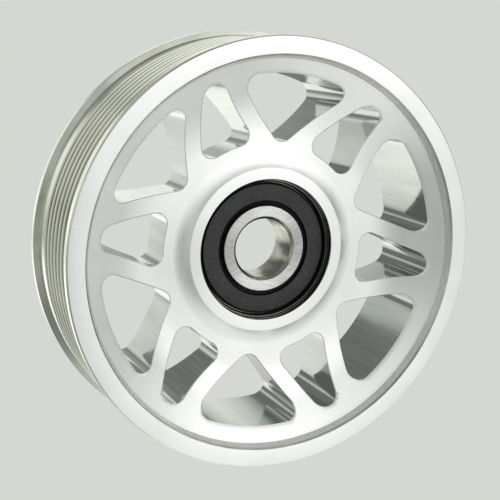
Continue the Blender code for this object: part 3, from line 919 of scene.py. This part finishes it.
def sheet_height(radius, angle, flat, pocket):
    """Height of one side of the cage sheet: flat, or a spherical pocket where that is higher."""
    from_ball = angle - round(angle / BALL_STEP) * BALL_STEP
    away = radius ** 2 + PITCH_RADIUS ** 2 - 2 * radius * PITCH_RADIUS * math.cos(from_ball)
    dome = math.sqrt(max(0.0, pocket ** 2 - away))
    return (flat + dome + math.hypot(flat - dome, CAGE_PRESS_ROUND)) / 2


def cage_section(angle, side):
    """Points round the cage sheet at an angle: out along its inner face, back along its outer."""
    width = CAGE_OUTER_RADIUS - CAGE_INNER_RADIUS
    steps = range(CAGE_RADIAL_STEPS + 1)
    radii = [CAGE_INNER_RADIUS + width * step / CAGE_RADIAL_STEPS for step in steps]
    across = [(r, sheet_height(r, angle, CAGE_PART_LINE, POCKET_RADIUS)) for r in radii]
    dome = POCKET_RADIUS + CAGE_THICKNESS
    across += [(r, sheet_height(r, angle, CAGE_TOP, dome)) for r in reversed(radii)]
    return [(r * math.cos(angle), side * height, r * math.sin(angle)) for r, height in across]


def make_cage_half(name, side):
    """Pressed sheet ring with a spherical pocket over each ball and rivet holes between them."""
    mesh_data = bmesh.new()
    sections = []
    for step in range(CAGE_SEGMENTS):
        section = cage_section(math.tau * step / CAGE_SEGMENTS, side)
        sections.append([mesh_data.verts.new(place) for place in section])
    for section, following in zip(sections, sections[1:] + sections[:1]):
        for corner in range(len(section)):
            beside = corner - 1
            mesh_data.faces.new(
                (section[beside], section[corner], following[corner], following[beside])
            )
    bmesh.ops.recalc_face_normals(mesh_data, faces=mesh_data.faces[:])
    half = add_piece(name + "_sheet", mesh_data, (cage_steel,), "cage", (name,))
    holes = bmesh.new()
    for rivet in range(BALL_COUNT):
        place = Matrix.Translation(on_pitch_circle(rivet + 0.5))
        bmesh.ops.create_cone(
            holes, cap_ends=True, segments=SMALL_SEGMENTS, radius1=RIVET_HOLE_RADIUS,
            radius2=RIVET_HOLE_RADIUS, depth=2 * RING_HALF_WIDTH,
            matrix=place @ Matrix.Rotation(math.pi / 2, 4, "X"),
        )
    cut_with(half, holes)


def make_rivets():
    """Domed rivets through both cage halves, one between each pair of balls."""
    under_head = CAGE_TOP + RIVET_GAP
    top = under_head + RIVET_HEAD_THICKNESS
    edge = top - RIVET_HEAD_THICKNESS * RIVET_DOME_SHARE
    outline = both_sides([
        (0.0, top, 0.0),
        (RIVET_HEAD_RADIUS * RIVET_DOME_SHARE, top, RIVET_HEAD_THICKNESS),
        (RIVET_HEAD_RADIUS, edge, RIVET_HEAD_EDGE_ROUND),
        (RIVET_HEAD_RADIUS, under_head, RIVET_HEAD_UNDER_ROUND),
        (RIVET_RADIUS, under_head, RIVET_SHANK_ROUND),
    ])
    for rivet in range(BALL_COUNT):
        mesh_data = turned(outline, SMALL_SEGMENTS, closed=False)
        bmesh.ops.translate(mesh_data, verts=mesh_data.verts, vec=on_pitch_circle(rivet + 0.5))
        number = rivet + 1
        add_piece(
            f"domed_rivet_{number}", mesh_data, (rivet_steel,), "cage",
            (f"cage_rivet_{number}",),
        )


# Studio.

def direction(azimuth, elevation):
    """Unit vector toward an azimuth and an elevation in degrees."""
    azimuth = math.radians(azimuth)
    elevation = math.radians(elevation)
    return Vector((
        math.sin(azimuth) * math.cos(elevation),
        -math.cos(azimuth) * math.cos(elevation),
        math.sin(elevation),
    ))


def make_camera():
    """Camera that looks at the target from its direction."""
    back = direction(*CAMERA_DIRECTION)
    data = bpy.data.cameras.new("camera")
    data.lens = CAMERA_LENS
    data.shift_x, data.shift_y = CAMERA_SHIFT
    data.clip_start, data.clip_end = CAMERA_CLIP
    camera = bpy.data.objects.new("camera", data)
    camera.location = CAMERA_TARGET + back * CAMERA_DISTANCE
    camera.rotation_euler = back.to_track_quat("Z", "Y").to_euler()
    bpy.context.collection.objects.link(camera)
    bpy.context.scene.camera = camera


def add_sky_patch(tree, below, blend, towards, inner, outer, colour):
    """Blends a round soft patch over the surroundings; inner and outer are radii in degrees."""
    sight = shader_node(tree, "TexCoord").outputs["Generated"]
    nearness = shader_node(
        tree, "VectorMath", {0: sight, 1: direction(*towards)}, operation="DOT_PRODUCT"
    )
    limits = {
        "Value": nearness.outputs["Value"],
        "From Min": math.cos(math.radians(outer)),
        "From Max": math.cos(math.radians(inner)),
    }
    fade = shader_node(tree, "MapRange", limits, interpolation_type="SMOOTHSTEP")
    blended = tint(tree, fade.outputs["Result"], below, colour)
    blended.node.blend_type = blend
    return blended


def make_world():
    """Pale backdrop, with soft lighter and darker areas of the studio seen only in reflections."""
    world = bpy.data.worlds.new("studio")
    bpy.context.scene.world = world
    world.use_nodes = True
    tree = world.node_tree
    room = shader_node(tree, "RGB").outputs["Color"]
    room.default_value = (*ROOM_COLOUR, 1.0)
    for patch in SKY_PATCHES:
        room = add_sky_patch(tree, room, *patch)
    to_camera = shader_node(tree, "LightPath").outputs["Is Camera Ray"]
    colour = tint(tree, to_camera, room, BACKDROP_COLOUR)
    tree.links.new(colour, tree.nodes["Background"].inputs["Color"])


def make_floor():
    """Pale seamless floor under the pulley, of the backdrop's own tone and without shadows."""
    mesh_data = bmesh.new()
    bmesh.ops.create_circle(
        mesh_data, cap_ends=True, segments=FLOOR_SEGMENTS, radius=FLOOR_RADIUS
    )
    mesh = bpy.data.meshes.new("floor")
    mesh_data.to_mesh(mesh)
    mesh_data.free()
    floor = bpy.data.objects.new("floor", mesh)
    floor.location = (0, 0, CAD_BOX[0].z - FLOOR_GAP)
    floor.visible_glossy = False
    floor.visible_diffuse = False
    floor.visible_shadow = False
    bpy.context.collection.objects.link(floor)
    material = bpy.data.materials.new("floor")
    material.use_nodes = True
    tree = material.node_tree
    tree.nodes.remove(tree.nodes["Principled BSDF"])
    glow = shader_node(tree, "Emission", {"Color": (*BACKDROP_COLOUR, 1.0)})
    tree.links.new(glow.outputs["Emission"], tree.nodes["Material Output"].inputs["Surface"])
    mesh.materials.append(material)


make_pulley_body()
make_outer_ring()
make_inner_ring()
make_seal("front_seal", -1)
make_seal("rear_seal", 1)
make_balls()
make_cage_half("cage_front", -1)
make_cage_half("cage_rear", 1)
make_rivets()

make_camera()
make_world()
make_floor()
bpy.context.scene.view_settings.view_transform = "Standard"
